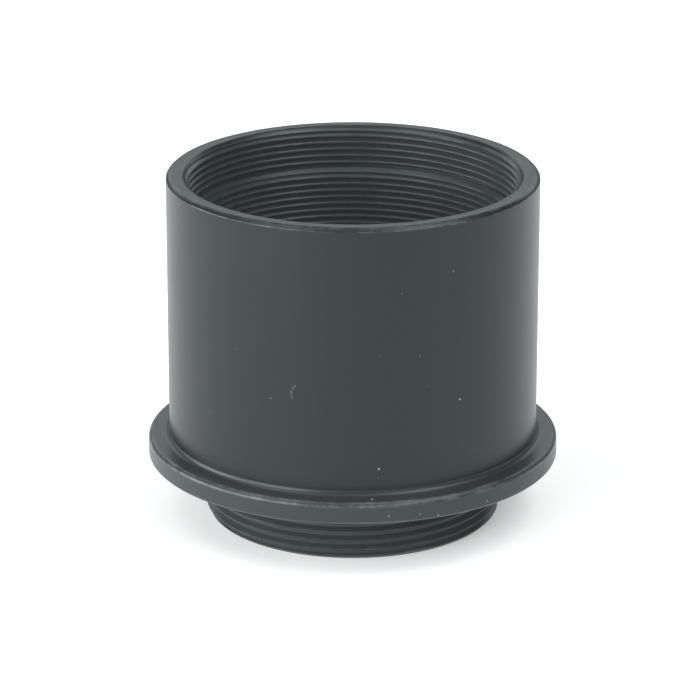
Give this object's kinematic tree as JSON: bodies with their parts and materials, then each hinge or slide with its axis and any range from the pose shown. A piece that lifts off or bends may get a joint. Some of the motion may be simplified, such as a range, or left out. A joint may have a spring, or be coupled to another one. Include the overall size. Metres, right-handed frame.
{
  "type": "c-mount adapter",
  "caption": "Turned tube adapter that seats a C-mount camera on a 1.25 inch eyepiece barrel, with a threaded light-trap bore and a filter thread.",
  "frame": {"origin": "centre of the end face of the camera thread, on which the adapter stands", "axes": "+Z along the optical axis, from the camera thread to the rim of the barrel; +X to the right and +Y away from the camera of the picture"},
  "size_m": [0.0354, 0.0354, 0.0302],
  "materials": {
    "black_anodised": "black anodised, fine turned satin"
  },
  "bodies": {
    "root": {"adapter_body": "black_anodised"}
  },
  "joints": []
}
